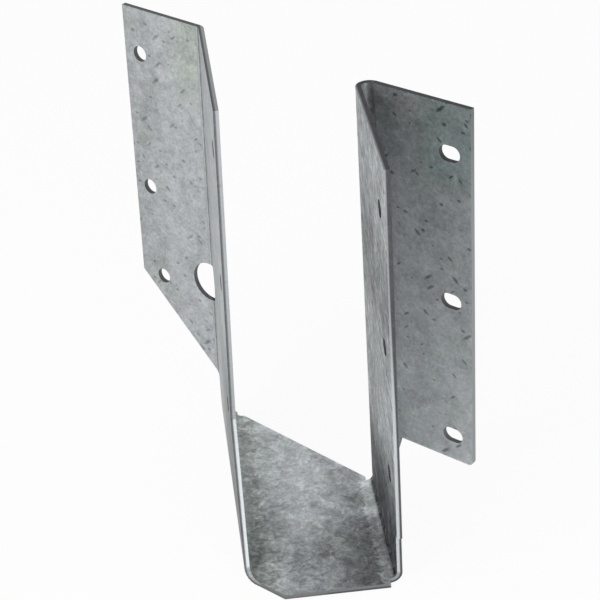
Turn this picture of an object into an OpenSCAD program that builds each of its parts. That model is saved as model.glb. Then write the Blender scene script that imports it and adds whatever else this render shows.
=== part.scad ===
// Skewed joist hanger: one blank of galvanised sheet steel, punched and folded.
//
// A joist sits on the seat, in the pocket between the two side walls. The header
// that carries it stands behind, turned away from square by the skew angle, and
// both flanges lie flat on the header's face. The left wall meets its flange at
// an open bend, and the right wall folds sharply back beside itself. The seat's
// bends are closed a little past square, so the walls lean in over the pocket
// until the joist springs them upright.
//
// Frame: +Z up, +X across the joist to the right, +Y along the joist towards the
// header. The origin is on top of the seat, where the middle of the joist meets
// the plane of the header's face.
//
// The outline and the large hole run across bends, so they are drawn on the flat
// blank and carried round each bend by across_bend(), as the press would do it.

/* [Pocket for the joist] */
// Clear width between the side walls, at the seat
pocket_w = 39.7; // [38:0.1:50]
// Height of the walls and the flanges above the seat
hanger_h = 127; // [124:1:160]
// Depth of each side wall, from its front edge back to the header's face
wall_depth = 54.8; // [52:0.1:60]
// Angle by which the header is turned away from square to the joist
skew = 45; // [43:0.5:46]
// Angle by which each side wall leans in over the pocket
wall_lean = 0.9; // [0:0.1:1.5]

/* [Sheet] */
// Thickness of the sheet
sheet_t = 1.5; // [1.2:0.1:2]
// Inside radius of every bend
bend_r = 2; // [1.6:0.1:2.4]

/* [Seat] */
// How far the seat's front edge stands ahead of the right wall
seat_lip = 0.3; // [0.1:0.1:1]
// Front-left corner cut, measured back along the left wall
corner_cut = 8.5; // [6:0.5:12]
// Gap between the seat's back edge and the header, at the left wall
back_gap_left = 4.1; // [4:0.1:6]
// Gap between the seat's back edge and the header, at the right wall
back_gap_right = 9.4; // [8:0.1:11]
// Set-back of the right bend and of the wall's foot behind the seat's front edge
foot_step = 2; // [1:0.1:3]
// Height of the set-back foot of the right wall
foot_h = 15; // [8:0.5:20]

/* [Flanges] */
// Width of the left flange, from the sharp corner of its bend
left_flange_w = 29.1; // [28:0.1:34]
// Height of the left flange's lower outer corner
left_corner_z = 38.8; // [32:0.1:40]
// Height of the left flange's lower edge where it leaves the wall
left_root_z = 9.7; // [7:0.1:11]
// Width of the right flange, from the sharp corner of its fold
right_flange_w = 38.4; // [38:0.1:42]
// Height of the right flange's lower edge
right_foot_z = 15.6; // [10:0.1:18]

/* [Fixing holes] */
// Diameter of the round nail holes
nail_d = 4.8; // [3.5:0.1:5]
// Height of the lowest hole in each side wall
wall_hole_z = 30; // [28:0.5:34]
// Vertical pitch of the holes in the side walls
wall_hole_pitch = 40.7; // [30:0.1:42]
// Distance of those holes behind the front edge of their wall
wall_hole_inset = 9.7; // [7:0.1:12]
// Overall length of the slots in the right flange
slot_l = 6.5; // [5.5:0.1:8]
// Width of the slots in the right flange
slot_w = 4.6; // [3.5:0.1:5]
// Height of the lowest slot in the right flange
slot_z = 23.9; // [22:0.1:28]
// Vertical pitch of the slots
slot_pitch = 44.5; // [36:0.5:46]
// Diameter of the large hole that wraps round the left bend
wrap_d = 12.8; // [10:0.1:14]
// Height of the large hole's centre
wrap_z = 43.5; // [40:0.1:48]

/* [Hidden] */

reach = 300;                                 // longer than anything that is cut
round_fn = 96;                               // smoothness of bends and holes
zinc = [0.66, 0.68, 0.69];
outer_r = bend_r + sheet_t;
neutral_r = bend_r + 0.45 * sheet_t;
half_w = pocket_w / 2;
seat_half_w = half_w - bend_r;               // the seat is flat this far out

// y of the plane that lies gap in front of the header's face, at x
function plane_y(x, gap) = -(gap + x * sin(skew)) / cos(skew);
// length of blank that a bend takes up
function bend_length(sweep) = neutral_r * sweep * PI / 180;

// front edges
right_front_y = plane_y(half_w, 0) - wall_depth;
left_front_y = plane_y(-half_w, 0) - wall_depth;
seat_front_y = right_front_y - seat_lip;
foot_y = seat_front_y + foot_step;

// upright bends: their axes, the run from the sharp corner to the flange's bend
// line, and the width of flange beyond that line
left_sweep = 90 - skew;
right_sweep = 90 + skew;
left_axis = [-half_w - outer_r, plane_y(-half_w - outer_r, outer_r)];
right_axis = [half_w + outer_r, plane_y(half_w + outer_r, outer_r)];
left_lead = bend_r * tan(left_sweep / 2);
right_lead = outer_r * tan(right_sweep / 2);
left_flat = left_flange_w - left_lead;
right_flat = right_flange_w - right_lead;

// back edge of the seat, and where the seat's two bends end
back_left_y = plane_y(-half_w, 0) - back_gap_left;
back_right_y = plane_y(half_w, 0) - back_gap_right;
function back_y(x) = back_right_y + (half_w - x) * (back_left_y - back_right_y) / pocket_w;
left_bend_end = back_y(-seat_half_w);
right_bend_end = right_axis[1] - 0.4;
dip = [-15.2, back_y(-15.2) + 1.1];          // centre of a shallow dip in that edge
dip_r = 1.6;

// holes in the flanges: distance out from the sharp corner, then height
left_holes = [[23.5, 113], [23.5, 69.5], [20.6, 39]];
slot_out = 31.8;
wrap_out = 1.5;

// The two turns of the sheet, each made in two steps. Written out to six digits, a
// single turn stretches what it carries by a hair, and these pairs do not.
skew_steps = [-14, 14 - skew];
lean_steps = [6, wall_lean - 6];

// flat steps in which a cut is carried round a bend
seat_steps = 6;
flange_steps = 3;
wrap_steps = 2;

// ---- frames ----

// A turn in the plane, in two steps
module turned(steps) {
    rotate(steps[0]) rotate(steps[1]) children();
}

// Carries a side wall, drawn upright from z = 0, to its place and its lean at the end
// of the seat's bend
module leaning(side) {
    translate([side * seat_half_w, 0, bend_r])
        rotate([0, -side * lean_steps[0], 0]) rotate([0, -side * lean_steps[1], 0])
            translate([-side * seat_half_w, 0, 0]) children();
}

// A shape drawn on a flange, as a tool that goes through it: x is the distance past
// the bend line, to the right, and y is the height
module through_flange(axis) {
    translate([axis[0], axis[1], -bend_r]) turned(skew_steps) translate([0, outer_r + 1, 0])
        rotate([90, 0, 0]) linear_extrude(sheet_t + 2) children();
}

// A strip of a shape drawn on the blank, as a tool that goes through the sheet. The
// bend's axis is Y, and the sheet lies below it.
module blank_tool(from, to) {
    translate([0, 0, -outer_r - 1]) linear_extrude(sheet_t + 2) mirror([1, 0]) intersection() {
        children();
        translate([from, -reach]) square([to - from, 2 * reach]);
    }
}

// Carries a shape drawn on the flat blank across a bend. Its x is the distance past
// the bend line, and its y runs along the bend's axis. The two flat strips lap a
// little over the ends of the bend.
module across_bend(sweep, steps) {
    step = sweep / steps;
    half_step = outer_r * tan(step / 2);
    lap = 0.2;
    blank_tool(-reach, lap) children();
    for (i = [0 : steps - 1]) {
        angle = (i + 0.5) * step;
        middle = bend_length(angle);
        rotate([0, angle, 0]) translate([middle, 0, 0])
            blank_tool(middle - half_step, middle + half_step) children();
    }
    rotate([0, sweep, 0]) translate([bend_length(sweep), 0, 0])
        blank_tool(bend_length(sweep) - lap, reach) children();
}

// The same for the left wall's upright bend: x runs from the wall to the flange
module across_left_bend(steps) {
    translate([left_axis[0], left_axis[1], -bend_r]) rotate([90, 0, -90])
        across_bend(left_sweep, steps) children();
}

// ---- sections of the sheet ----

// Section of a bend: the part of a ring above y = 0 and on one side of a second line,
// which is x = 0 in the frame that the turn gives
module bend_section(side, steps) {
    far = 3 * outer_r;
    intersection() {
        difference() {
            circle(r = outer_r, $fn = round_fn);
            circle(r = bend_r, $fn = round_fn);
        }
        translate([-far, 0]) square([2 * far, far]);
        turned(steps) translate([side > 0 ? 0 : -far, -far]) square([far, 2 * far]);
    }
}

// Plan of the left wall, its open bend and its flange
module left_plan() {
    run = left_axis[1] - seat_front_y;
    translate(left_axis) {
        translate([bend_r, -run]) square([sheet_t, run]);
        bend_section(1, skew_steps);
        turned(skew_steps) translate([-left_flat, bend_r]) square([left_flat, sheet_t]);
    }
}

// Plan of the right wall, its sharp fold and its flange
module right_plan() {
    run = right_axis[1] - right_front_y;
    translate(right_axis) {
        translate([-outer_r, -run]) square([sheet_t, run]);
        bend_section(-1, skew_steps);
        turned(skew_steps) translate([0, bend_r]) square([right_flat, sheet_t]);
    }
}

// ---- cuts ----

// Front edge of the left wall: the corner cut crosses the seat's bend and climbs the
// wall at 45 degrees until it meets the upright front edge
module left_front_cut() {
    on_seat = corner_cut - bend_r;
    translate([-seat_half_w, 0, bend_r]) across_bend(90 + wall_lean, seat_steps) polygon([
        [-on_seat - 1, seat_front_y - 1],
        [left_front_y - seat_front_y - on_seat, left_front_y],
        [reach, left_front_y],
        [reach, seat_front_y - 1]
    ]);
}

// Lower edge of the left flange, and the relief above the end of the seat's bend
module left_lower_cut() {
    flange_end = bend_length(left_sweep) + left_flat;
    slope = (left_corner_z - left_root_z) / flange_end;
    across_left_bend(flange_steps) polygon([
        [left_bend_end + 0.3 - left_axis[1], -reach],
        [left_bend_end + 0.3 - left_axis[1], bend_r],
        [0, left_root_z],
        [flange_end + 1, left_corner_z + slope],
        [flange_end + 1, -reach]
    ]);
}

// The large hole, punched through the blank on the line of the left bend
module wrap_hole() {
    across_left_bend(wrap_steps)
        translate([bend_length(left_sweep) + wrap_out - left_lead, wrap_z])
            circle(d = wrap_d, $fn = round_fn);
}

// Lower edge of the right flange: square, with a rounded outer corner, and a short
// slope down to the fold
module right_lower_cut() {
    corner_r = 1.5;
    slope_w = 5;
    through_flange(right_axis) {
        polygon([
            [1, -reach],
            [1, bend_r],
            [slope_w, right_foot_z],
            [right_flat + 1, right_foot_z],
            [right_flat + 1, -reach]
        ]);
        translate([right_flat, right_foot_z]) difference() {
            translate([-corner_r, -1]) square([corner_r + 1, corner_r + 1]);
            translate([-corner_r, corner_r]) circle(r = corner_r, $fn = round_fn);
        }
    }
}

// Foot of the right wall, set back from the rest of its front edge
module right_foot_cut() {
    translate([half_w - 1, right_front_y - 1, -bend_r])
        cube([sheet_t + 2, foot_y - right_front_y + 1, foot_h]);
}

// Round holes in the left flange
module left_flange_holes() {
    through_flange(left_axis)
        for (hole = left_holes) translate([left_lead - hole[0], hole[1]])
            circle(d = nail_d, $fn = round_fn);
}

// Slots in the right flange
module right_flange_slots() {
    straight = slot_l - slot_w;
    through_flange(right_axis)
        for (i = [0 : 2]) translate([slot_out - right_lead, slot_z + i * slot_pitch]) {
            square([straight, slot_w], center = true);
            for (end = [-1, 1]) translate([end * straight / 2, 0]) circle(d = slot_w, $fn = round_fn);
        }
}

// Nail holes in a side wall, level and square to the joist
module wall_holes(side, front_y) {
    for (i = [0 : 2]) {
        z = wall_hole_z + i * wall_hole_pitch;
        x = half_w + sheet_t / 2 - z * tan(wall_lean);
        translate([side * x, front_y + wall_hole_inset, z]) rotate([0, 90, 0])
            cylinder(h = sheet_t + 2, d = nail_d, center = true, $fn = round_fn);
    }
}

// ---- the folded sheet ----

// Flat part of the seat
module seat() {
    translate([0, 0, -sheet_t]) linear_extrude(sheet_t) difference() {
        polygon([
            [-seat_half_w, seat_front_y],
            [seat_half_w, seat_front_y],
            [seat_half_w, back_y(seat_half_w)],
            [-seat_half_w, back_y(-seat_half_w)]
        ]);
        translate(dip) circle(r = dip_r, $fn = round_fn);
    }
}

// Bend along one side of the seat, between two distances along the joist
module seat_bend(side, from, to) {
    translate([0, to, 0]) rotate([90, 0, 0]) linear_extrude(to - from) mirror([side < 0 ? 1 : 0, 0])
        translate([seat_half_w, bend_r]) rotate(-90) bend_section(1, lean_steps);
}

// Left wall and its flange
module left_side() {
    difference() {
        linear_extrude(hanger_h - bend_r) left_plan();
        left_lower_cut();
        wrap_hole();
        left_flange_holes();
    }
}

// Right wall and its flange
module right_side() {
    difference() {
        linear_extrude(hanger_h - bend_r) right_plan();
        right_lower_cut();
        right_foot_cut();
        right_flange_slots();
    }
}

module hanger() {
    color(zinc) difference() {
        union() {
            seat();
            seat_bend(-1, seat_front_y, left_bend_end);
            seat_bend(1, foot_y, right_bend_end);
            leaning(-1) left_side();
            leaning(1) right_side();
        }
        left_front_cut();
        wall_holes(-1, left_front_y);
        wall_holes(1, right_front_y);
    }
}

hanger();
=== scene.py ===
"""Studio scene for the skewed joist hanger.

The part is one folded sheet, so its CAD node stays as it is and gets a galvanised finish.
Places are metres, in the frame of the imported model. Inside the material, lengths are
millimetres, masks run from 0 to 1, and a tone is a grey from 0 to 1 as the eye sees it.
"""
import math

import bpy
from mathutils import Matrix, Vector


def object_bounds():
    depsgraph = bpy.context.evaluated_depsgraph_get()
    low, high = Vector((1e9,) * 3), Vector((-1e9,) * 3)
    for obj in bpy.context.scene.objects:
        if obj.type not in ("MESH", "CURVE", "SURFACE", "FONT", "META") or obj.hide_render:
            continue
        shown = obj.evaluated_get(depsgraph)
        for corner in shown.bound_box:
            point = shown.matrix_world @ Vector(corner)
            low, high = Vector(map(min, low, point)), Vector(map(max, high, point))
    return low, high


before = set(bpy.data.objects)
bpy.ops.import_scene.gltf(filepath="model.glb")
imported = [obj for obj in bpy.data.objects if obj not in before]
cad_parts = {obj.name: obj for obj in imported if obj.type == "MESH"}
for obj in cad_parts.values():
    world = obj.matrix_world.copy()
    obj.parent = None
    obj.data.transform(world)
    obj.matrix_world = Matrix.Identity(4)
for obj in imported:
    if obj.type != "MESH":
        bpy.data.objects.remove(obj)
cad_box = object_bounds()

# ---- the hanger, in millimetres and degrees ----
SKEW = 45.0                     # the header's face, turned against the joist's end
LEAN = 0.9                      # each wall leans in by this much
POCKET = 39.7                   # between the walls at the seat
HEIGHT = 127.0                  # of the walls and flanges above the seat
SHEET = 1.5
BEND = 2.0                      # inside radius of every bend
BEND_LINE = POCKET / 2 - BEND   # the seat is flat this far out
FLANGE_ROOT = 21.9              # the left flange is flat from here on
FOLD_REACH = 2.8                # the right flange starts this much further out

# ---- look of the zinc ----
MIDDLE_TONE = 0.69
DARKEST_TONE = 0.12
ZINC = (0.955, 1.0, 1.025)      # red, green and blue, as factors on the tone
LEAFY = (0.925, 1.02, 0.93)     # yellow-green stain
TEAL = (0.85, 1.02, 1.0)        # blue-green stain

NOISES = {                      # waves per millimetre, octaves, roughness, distortion
    "drift": (0.07, 2.0, 0.5, 0.0),
    "cloud": (0.13, 3.0, 0.55, 0.6),
    "smudge": (0.2, 3.0, 0.65, 0.8),
    "feather": (0.3, 4.0, 0.6, 2.5),
    "patch": (0.42, 3.0, 0.6, 1.2),
    "fine": (1.0, 3.0, 0.65, 0.5),
    "grain": (2.2, 2.0, 0.6, 0.0),
}
SPANGLE = {                     # strength on the walls and flanges, and on the seat
    "cloud": (0.14, 0.22),
    "smudge": (0.16, 0.42),
    "patch": (0.2, 0.5),
    "fine": (0.22, 0.22),
    "grain": (0.12, 0.12),
    "crystal": (0.035, 0.035),
}
FLECKS = (                      # width, length, share of cells with a fleck, tilt, shift
    (1.3, 4.4, 0.24, -50.0, 0.0),
    (1.2, 3.0, 0.13, 48.0, 31.0),
    (1.2, 1.8, 0.22, 85.0, 67.0),
)
FLECK_CELLS = 0.3               # cells per millimetre, across a fleck
CRYSTAL_CELLS = 0.22


# ---- node helpers ----
class Graph:
    """Small builder of shader nodes: each call adds what it needs and returns the output."""

    def __init__(self, tree):
        self.tree = tree
        tree.nodes.clear()

    def node(self, kind, **settings):
        made = self.tree.nodes.new(kind)
        for name, value in settings.items():
            setattr(made, name, value)
        return made

    def put(self, socket, value):
        if isinstance(value, bpy.types.NodeSocket):
            self.tree.links.new(value, socket)
        else:
            socket.default_value = value

    def fill(self, made, *values):
        """Puts the values on the node's first inputs, and returns its first output."""
        for socket, value in zip(made.inputs, values):
            self.put(socket, value)
        return made.outputs[0]

    def parts(self, kind, value):
        made = self.node(kind)
        self.put(made.inputs[0], value)
        return tuple(made.outputs)

    def math(self, operation, *values):
        return self.fill(self.node("ShaderNodeMath", operation=operation), *values)

    def chain(self, operation, first, *rest):
        for value in rest:
            first = self.math(operation, first, value)
        return first

    def add(self, *values):
        return self.chain("ADD", *values)

    def times(self, *values):
        return self.chain("MULTIPLY", *values)

    def either(self, *masks):
        return self.chain("MAXIMUM", *masks)

    def less(self, value, taken):
        return self.math("SUBTRACT", value, taken)

    def no(self, mask):
        return self.less(1.0, mask)

    def size(self, value):
        return self.math("ABSOLUTE", value)

    def swing(self, noise, strength):
        """A noise that goes from 0 to 1, as a push to either side of nothing."""
        return self.times(self.less(noise, 0.5), strength)

    def ramp(self, value, low, high, smooth=True):
        """0 below low and 1 above high, which may be given in falling order."""
        made = self.node("ShaderNodeMapRange", clamp=True)
        made.interpolation_type = "SMOOTHSTEP" if smooth else "LINEAR"
        falling = low > high
        self.put(made.inputs["Value"], value)
        self.put(made.inputs["From Min"], min(low, high))
        self.put(made.inputs["From Max"], max(low, high))
        self.put(made.inputs["To Min"], 1.0 if falling else 0.0)
        self.put(made.inputs["To Max"], 0.0 if falling else 1.0)
        return made.outputs["Result"]

    def vector(self, x, y, z):
        return self.fill(self.node("ShaderNodeCombineXYZ"), x, y, z)

    def noise(self, place, scale, detail, rough, twist, output="Fac"):
        made = self.node("ShaderNodeTexNoise", noise_dimensions="3D")
        self.put(made.inputs["Vector"], place)
        self.put(made.inputs["Scale"], scale)
        self.put(made.inputs["Detail"], detail)
        self.put(made.inputs["Roughness"], rough)
        self.put(made.inputs["Distortion"], twist)
        return made.outputs[output]

    def cells(self, place, scale, dimensions):
        """Distance to the nearest cell's point, and the three random numbers of that cell."""
        made = self.node("ShaderNodeTexVoronoi", voronoi_dimensions=dimensions)
        self.put(made.inputs["Vector"], place)
        self.put(made.inputs["Scale"], scale)
        return made.outputs["Distance"], self.parts("ShaderNodeSeparateColor", made.outputs["Color"])

    def blend(self, factor, a, b):
        made = self.node("ShaderNodeMix", data_type="FLOAT")
        self.put(made.inputs[0], factor)
        self.put(made.inputs[2], a)
        self.put(made.inputs[3], b)
        return made.outputs[0]

    def blend_vectors(self, factor, a, b):
        made = self.node("ShaderNodeMix", data_type="VECTOR")
        self.put(made.inputs[0], factor)
        self.put(made.inputs[4], a)
        self.put(made.inputs[5], b)
        return made.outputs[1]

    def surface(self, kind, **inputs):
        """A node with the named inputs set, such as Base_Color for Base Color."""
        made = self.node(kind)
        for name, value in inputs.items():
            self.put(made.inputs[name.replace("_", " ")], value)
        return made.outputs[0]

    def close(self, kind, surface):
        self.put(self.node(kind).inputs["Surface"], surface)


# ---- galvanised sheet ----
class Galvanised(Graph):
    """Dull zinc: clouded spangle, flecks, rubbed walls, painted light and shade on the flanges, walls
    and seat, and sheared edges with a painted highlight.
    """

    def __init__(self, material):
        material.use_nodes = True
        super().__init__(material.node_tree)
        self.find_place()
        self.find_regions()
        self.find_cuts()
        self.make_textures()
        # the flange, wall and seat terms add painted light and shade to the tone
        tone = self.add(self.spangle(), self.fleck_tone(), self.rubbing(), self.flange_shade_and_tone(),
                        self.wall_shade_and_tone(), self.seat_shade_and_tone())
        tone = self.blend(self.cut, tone, self.sheared())
        self.finish(self.math("MAXIMUM", tone, DARKEST_TONE))

    def find_place(self):
        """Place and normal, in the joist's directions and in the header's."""
        coords = self.node("ShaderNodeTexCoord")
        place = self.parts("ShaderNodeSeparateXYZ", coords.outputs["Object"])
        self.x, self.y, self.z = (self.times(value, 1000.0) for value in place)
        self.nx, self.ny, self.nz = self.parts("ShaderNodeSeparateXYZ", coords.outputs["Normal"])
        # distance from the joist's centre line, as if the walls stood upright
        rise = self.math("MAXIMUM", self.less(self.z, BEND), 0.0)
        lean = math.tan(math.radians(LEAN))
        self.side = self.math("MULTIPLY_ADD", rise, lean, self.size(self.x))
        # along the header's face and out of it; at 45 degrees one factor serves for both
        turn = math.sin(math.radians(SKEW))
        self.along = self.times(self.less(self.x, self.y), turn)
        self.behind = self.times(self.add(self.x, self.y), turn)
        self.facing = self.times(self.add(self.nx, self.ny), -turn)

    def find_regions(self):
        """Masks of the sheet's parts, with the right and left of the joist told apart."""
        self.right = self.ramp(self.x, -1.0, 1.0)
        self.left = self.no(self.right)
        reach = self.less(self.side, self.times(self.right, FOLD_REACH))
        self.flange = self.ramp(reach, FLANGE_ROOT, FLANGE_ROOT + 0.3)
        self.off_flange = self.no(self.flange)
        self.seat = self.times(self.ramp(self.nz, 0.5, 0.9), self.ramp(self.z, 2.2, 1.2))
        inward = self.either(self.times(self.right, self.ramp(self.nx, -0.5, -0.8)),
                             self.times(self.left, self.ramp(self.nx, 0.5, 0.8)))
        self.inner = self.times(self.ramp(self.side, 17.0, 17.6), self.off_flange, inward)
        self.inner_right = self.times(self.inner, self.right)
        self.right_face = self.times(self.right, self.ramp(self.side, 21.5, 23.5),
                                     self.ramp(self.facing, 0.3, 0.8))
        self.upright = self.ramp(self.size(self.nz), 0.6, 0.4)
        self.fold = self.times(self.right, self.ramp(self.y, -34.0, -33.0))

    def find_cuts(self):
        """The sheared edges, told from the faces by their normals."""
        open_bend = self.times(self.left, self.ramp(self.y, 15.0, 16.0))
        on_bend = self.times(self.either(self.fold, open_bend), self.upright, self.off_flange)
        on_flange = self.times(self.flange, self.ramp(self.size(self.facing), 0.5, 0.3))
        top = self.times(self.ramp(self.size(self.nz), 0.5, 0.6), self.ramp(self.z, 3.0, 4.0))
        front = self.ramp(self.size(self.ny), 0.35, 0.5)
        on_wall = self.times(self.off_flange, self.no(on_bend), self.either(front, top))
        self.cut = self.either(on_flange, on_wall)
        self.uncut = self.no(self.cut)

    def make_textures(self):
        """Noises laid on the flanges in their own plane, and elsewhere square to the joist."""
        square = self.vector(self.x, self.y, self.z)
        header = self.vector(self.along, self.behind, self.z)
        place = self.blend_vectors(self.flange, square, header)
        self.texture = {name: self.noise(place, *form) for name, form in NOISES.items()}
        warp = self.noise(place, 0.35, 2.0, 0.5, 0.0, output="Color")
        bend = self.node("ShaderNodeVectorMath", operation="MULTIPLY_ADD")
        bent = self.fill(bend, warp, (3.0, 3.0, 3.0), place)
        _, lots = self.cells(bent, CRYSTAL_CELLS, "3D")
        self.texture["crystal"] = lots[0]
        self.flecks = self.either(*(self.fleck_layer(*form) for form in FLECKS))
        # added to a length, it moves the border of a stain to and fro by some millimetres
        self.ragged = self.swing(self.texture["patch"], 14.0)

    def fleck_layer(self, width, length, share, tilt, shift):
        """Short strokes in the plane of the sheet, one in each of a share of stretched cells."""
        along = self.blend(self.flange, self.blend(self.seat, self.y, self.x), self.along)
        up = self.blend(self.seat, self.z, self.y)
        turn = self.node("ShaderNodeMapping", vector_type="TEXTURE")
        self.put(turn.inputs["Vector"], self.vector(along, up, 0.0))
        turn.inputs["Location"].default_value = (shift, shift, 0.0)
        turn.inputs["Rotation"].default_value = (0.0, 0.0, math.radians(tilt))
        turn.inputs["Scale"].default_value = (1.0, length / width, 1.0)
        distance, (lot, breadth, _) = self.cells(turn.outputs[0], FLECK_CELLS, "2D")
        chosen = self.ramp(lot, 1.0 - share, 1.02 - share)
        reach = self.times(self.math("MULTIPLY_ADD", breadth, 0.7, 0.5), width * 0.15)
        inside = self.no(self.math("DIVIDE", distance, reach))
        return self.times(self.ramp(inside, 0.0, 0.7), chosen)

    def spangle(self):
        """The middle tone, clouded more strongly on the seat."""
        parts = [MIDDLE_TONE]
        for name, (on_sheet, on_seat) in SPANGLE.items():
            parts.append(self.swing(self.texture[name], self.blend(self.seat, on_sheet, on_seat)))
        vein = self.ramp(self.size(self.less(self.texture["feather"], 0.5)), 0.025, 0.0)
        parts.append(self.times(vein, self.blend(self.seat, 0.025, 0.09)))
        blot = self.ramp(self.texture["smudge"], 0.6, 0.72)
        parts.append(self.times(blot, self.blend(self.seat, -0.07, 0.0)))
        return self.add(*parts)

    def fleck_tone(self):
        """Strong on the front of the right flange and faint off the flanges."""
        elsewhere = self.blend(self.flange, -0.04, -0.12)
        return self.times(self.flecks, self.blend(self.right_face, elsewhere, -0.2))

    def rubbing(self):
        """Draw marks up the inner faces, and scratches that slant back on the right one."""
        stretch = (0.4, 1.1, 0.07)
        drawn = self.vector(*map(self.times, (self.x, self.y, self.z), stretch))
        streak = self.noise(drawn, 1.0, 3.0, 0.6, 0.4)
        slope = 0.37
        across = self.times(self.less(self.times(self.y, slope), self.z), 0.5)
        along = self.times(self.add(self.y, self.times(self.z, slope)), 0.08)
        slant = self.noise(self.vector(across, along, 0.0), 1.0, 3.0, 0.6, 0.6)
        scuffed = self.add(self.swing(slant, 0.55), self.swing(self.texture["patch"], 0.42))
        drawn_tone = self.swing(streak, self.blend(self.right, 0.22, 0.5))
        return self.add(self.times(self.inner, drawn_tone),
                        self.times(self.inner_right, scuffed))

    def flange_shade_and_tone(self):
        """Painted light and shade on the right flange: lifted all over, as if lit, then painted darker
        upwards, towards its fold and inside the fold. Painted shade along the left crease. The left
        flange is darker outwards.
        """
        # painted light and shade: the right flange's front lifted, then darkened upwards
        lift_and_shade_up = self.add(0.045, self.times(self.ramp(self.z, 40.0, 100.0, smooth=False), -0.12),
                        self.times(self.ramp(self.z, 98.0, 124.0, smooth=False), -0.13))
        # painted shade in the right flange's top corner by the fold
        corner = self.times(self.ramp(self.z, 100.0, 122.0), self.ramp(self.along, 48.0, 38.0), -0.06)
        # painted shade inside the right flange's fold
        fold_shade = self.times(self.fold, self.upright, self.ramp(self.side, 25.5, 24.0),
                             self.ramp(self.nx, -0.72, -0.6), -0.12)
        outwards = self.add(-0.03, self.times(self.ramp(self.along, -40.0, -52.0), -0.04))
        # painted shade: a dark line along the left crease
        crease_shade = self.times(self.left, self.ramp(self.ny, -0.12, -0.3), self.ramp(self.ny, -0.64, -0.45),
                            self.ramp(self.nx, -0.6, -0.75), -0.17)
        return self.add(self.times(self.right_face, self.add(lift_and_shade_up, corner)), fold_shade,
                        self.times(self.left, self.flange, outwards), crease_shade)

    def wall_shade_and_tone(self):
        """Painted shade on the right wall's inner face: darker all over, most at its foot by the seat
        and in a band higher up. The left wall is darker outside at its lower front.
        """
        # painted shade at the right wall's foot and in a band higher up
        foot_shade = self.times(self.ramp(self.z, 36.0, 12.0), -0.34)
        band_shade = self.times(self.ramp(self.z, 112.0, 88.0), self.ramp(self.z, 60.0, 82.0), -0.12)
        outside = self.times(self.left, self.ramp(self.nx, -0.7, -0.9), self.off_flange)
        lower_front = self.times(self.ramp(self.y, 12.0, -30.0), self.ramp(self.z, 62.0, 28.0), -0.18)
        return self.add(self.times(self.inner_right, self.add(-0.04, foot_shade, band_shade)),
                        self.times(outside, self.add(-0.03, lower_front)))

    def seat_shade_and_tone(self):
        """Painted reflection on the seat: darker towards the right wall, whose dark foot it would
        mirror, and lighter towards the left. The seat is also lighter at the back and darker at its
        front left and left rim, and the right bend is lighter.
        """
        x, y = self.x, self.y
        # painted reflection: the seat darker towards the right wall's dark foot
        crosswise_shade = self.add(0.05, self.times(self.ramp(x, -13.0, -4.0), 0.06),
                             self.times(self.ramp(x, -2.0, 15.0), -0.17))
        lengthwise = self.add(self.times(self.ramp(y, -62.0, -18.0), 0.15), -0.07)
        front = self.times(self.ramp(y, -42.0, -56.0), self.ramp(x, -11.0, -4.0), -0.11)
        left_rim = self.times(self.ramp(self.add(x, self.ragged), -12.0, -17.0), -0.1)
        frayed = self.add(self.side, self.swing(self.texture["patch"], 5.0))
        bright_bend = self.times(self.right, self.ramp(frayed, 14.9, 16.3), self.ramp(self.side, 19.0, 18.0),
                          self.ramp(self.nz, 0.4, 0.7), self.uncut, self.ramp(y, -18.0, -30.0), 0.15)
        return self.add(self.times(self.seat, self.add(crosswise_shade, lengthwise, front, left_rim)), bright_bend)

    def sheared(self):
        """Dark where the sheet broke, and bright where the punch burnished it, with a painted highlight
        where the left wall's front edge climbs and faces up.
        """
        # through the sheet and round the seat's bends, from -SHEET / 2 on the inner skin
        across = self.math("MAXIMUM", self.less(self.side, BEND_LINE), 0.0)
        under = self.math("MAXIMUM", self.less(BEND, self.z), 0.0)
        radius = self.math("SQRT", self.add(self.times(across, across), self.times(under, under)))
        depth = self.less(radius, BEND + SHEET / 2)

        low = self.ramp(self.z, 95.0, 45.0)
        # painted highlight: the left wall's front edge, where it climbs and faces up, lighter as if lit
        # from above
        climb_highlight = self.times(self.left, self.ramp(self.nz, 0.3, 0.6), self.ramp(self.z, 41.0, 39.0))
        bright = self.blend(self.right, self.ramp(depth, 0.4, -0.1),
                            self.ramp(self.less(depth, self.times(low, 0.45)), -0.1, -0.55))
        on_wall = self.blend(self.right, self.blend(climb_highlight, 0.64, 0.82), self.blend(low, 0.57, 0.72))
        on_seat = self.blend(self.ramp(self.side, 17.0, 18.0), 0.44, 0.56)
        burnished = self.blend(self.ramp(self.z, 2.4, 1.4), on_wall, on_seat)
        burnished = self.add(burnished, self.swing(self.texture["grain"], 0.12))
        broken = self.add(self.blend(self.right, 0.38, 0.29), self.swing(self.texture["patch"], 0.15))
        tone = self.blend(bright, broken, burnished)
        rim = self.times(self.right, low, self.ramp(self.z, 1.0, 3.0), self.ramp(depth, 0.45, 0.65))
        tone = self.add(tone, self.times(rim, 0.12))

        # The nail holes of the walls are dark inside. The right wall stands forward of the
        # left one by the pocket's width.
        back = self.add(self.y, self.times(self.right, POCKET))
        bore = self.times(self.off_flange, self.ramp(back, -32.0, -30.0),
                          self.ramp(self.size(self.nx), 0.5, 0.4),
                          self.ramp(self.z, 3.0, 6.0), self.ramp(self.z, HEIGHT - 9.0, HEIGHT - 11.0))
        tone = self.blend(bore, tone, 0.26)
        # the far ends of the flanges are an even grey
        sideways = self.ramp(self.size(self.less(self.nx, self.ny)), 1.2, 1.35)
        ends = self.either(self.ramp(self.along, 64.5, 65.5), self.ramp(self.along, -55.5, -56.5))
        return self.blend(self.times(sideways, ends), tone, 0.58)

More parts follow.
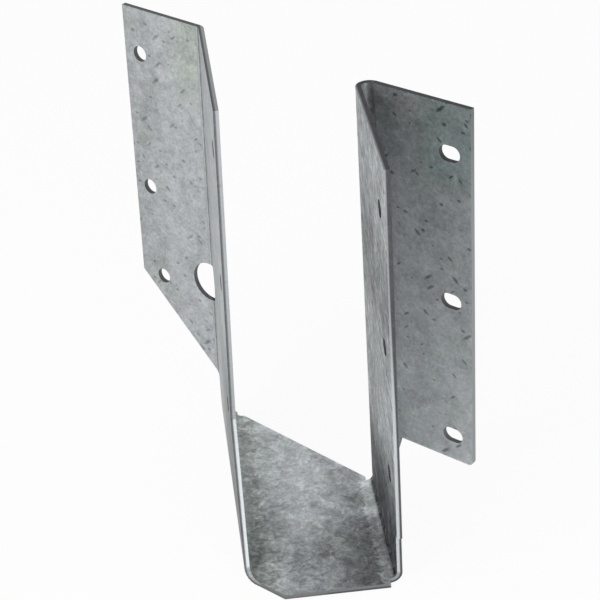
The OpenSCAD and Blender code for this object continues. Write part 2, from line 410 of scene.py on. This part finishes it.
    def finish(self, tone):
        """Tints the tone with two kinds of green stain, and closes the material."""
        along = self.add(self.along, self.ragged)
        height = self.add(self.z, self.ragged)
        teal = self.times(self.right_face, self.ramp(along, 44.0, 54.0), self.ramp(height, 98.0, 108.0))
        on_flange = self.times(self.left, self.flange, self.ramp(along, -44.0, -32.0),
                               self.ramp(height, 96.0, 114.0))
        on_seat = self.times(self.seat, self.ramp(self.add(self.x, self.ragged), -6.0, -16.0), 0.5)
        stain = self.times(self.either(teal, on_flange, on_seat), 0.85)
        drift = self.times(self.ramp(self.texture["drift"], 0.52, 0.72), 0.5)
        stained = self.times(self.either(stain, drift), self.uncut)

        level = self.math("POWER", tone, 2.2)
        channels = [self.times(level, self.blend(stained, plain, self.blend(teal, leafy, bluish)))
                    for plain, leafy, bluish in zip(ZINC, LEAFY, TEAL)]
        colour = self.fill(self.node("ShaderNodeCombineColor"), *channels)

        patch, grain = self.texture["patch"], self.texture["grain"]
        rough = self.add(0.58, self.swing(patch, 0.25), self.times(self.flecks, 0.15))
        relief = self.add(self.times(patch, 0.5), self.times(grain, 0.35), self.times(self.flecks, -0.4))
        bump = self.surface("ShaderNodeBump", Strength=0.35, Distance=0.00012, Height=relief)
        sheet = self.surface("ShaderNodeBsdfPrincipled", Base_Color=colour, Metallic=0.6,
                             Roughness=rough, Normal=bump)
        self.close("ShaderNodeOutputMaterial", sheet)


# ---- studio ----
def make_floor(height, radius=4.0, corners=64, glow_share=0.93):
    """A round white floor: bright to the camera, plain paper to the light."""
    turns = [step * math.tau / corners for step in range(corners)]
    rim = [(radius * math.cos(turn), radius * math.sin(turn), height) for turn in turns]
    mesh = bpy.data.meshes.new("floor")
    mesh.from_pydata(rim, [], [tuple(range(corners))])
    floor = bpy.data.objects.new("floor", mesh)
    bpy.context.scene.collection.objects.link(floor)

    paper = bpy.data.materials.new("paper")
    paper.use_nodes = True
    graph = Graph(paper.node_tree)
    rays = graph.node("ShaderNodeLightPath").outputs
    seen = graph.either(rays["Is Camera Ray"], rays["Is Glossy Ray"], rays["Is Transmission Ray"])
    diffuse = graph.surface("ShaderNodeBsdfDiffuse", Color=(0.8, 0.8, 0.8, 1.0))
    glow = graph.surface("ShaderNodeEmission", Color=(1.0, 1.0, 1.0, 1.0))
    share = graph.times(seen, glow_share)
    mixed = graph.fill(graph.node("ShaderNodeMixShader"), share, diffuse, glow)
    graph.close("ShaderNodeOutputMaterial", mixed)
    mesh.materials.append(paper)


def make_world(strength=0.6, seen_strength=0.98):
    """White to the camera, and a softer light on the part."""
    world = bpy.data.worlds.new("studio")
    bpy.context.scene.world = world
    world.use_nodes = True
    graph = Graph(world.node_tree)
    seen = graph.node("ShaderNodeLightPath").outputs["Is Camera Ray"]
    back = graph.surface("ShaderNodeBackground", Color=(1.0, 1.0, 1.0, 1.0),
                         Strength=graph.blend(seen, strength, seen_strength))
    graph.close("ShaderNodeOutputWorld", back)


def softbox(name, place, aim, width, power):
    lamp = bpy.data.lights.new(name, "AREA")
    lamp.shape = "RECTANGLE"
    lamp.size = lamp.size_y = width
    lamp.energy = power
    holder = bpy.data.objects.new(name, lamp)
    holder.location = place
    holder.rotation_mode = "QUATERNION"
    holder.rotation_quaternion = (Vector(aim) - Vector(place)).to_track_quat("-Z", "Y")
    bpy.context.scene.collection.objects.link(holder)


def make_camera(place, angles, lens):
    data = bpy.data.cameras.new("camera")
    data.sensor_width = 36.0
    data.lens = lens
    data.clip_start, data.clip_end = 0.01, 20.0
    camera = bpy.data.objects.new("camera", data)
    camera.location = place
    camera.rotation_euler = [math.radians(angle) for angle in angles]
    bpy.context.scene.collection.objects.link(camera)
    bpy.context.scene.camera = camera


bpy.context.scene.view_settings.view_transform = "Standard"
sheet = bpy.data.materials.new("galvanised_sheet")
Galvanised(sheet)
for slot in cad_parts["hanger"].material_slots:
    slot.material = sheet

make_floor(cad_box[0].z)
make_world()
MIDDLE = (0.0, 0.0, 0.06)
softbox("key", (-0.9, -0.6, 0.7), MIDDLE, 0.8, 8.0)
softbox("front", (0.1, -1.1, 0.25), MIDDLE, 0.6, 7.0)
make_camera(place=(-0.036281, -0.43352, 0.318466), angles=(57.9944, 2.3655, -6.7277), lens=104.629)
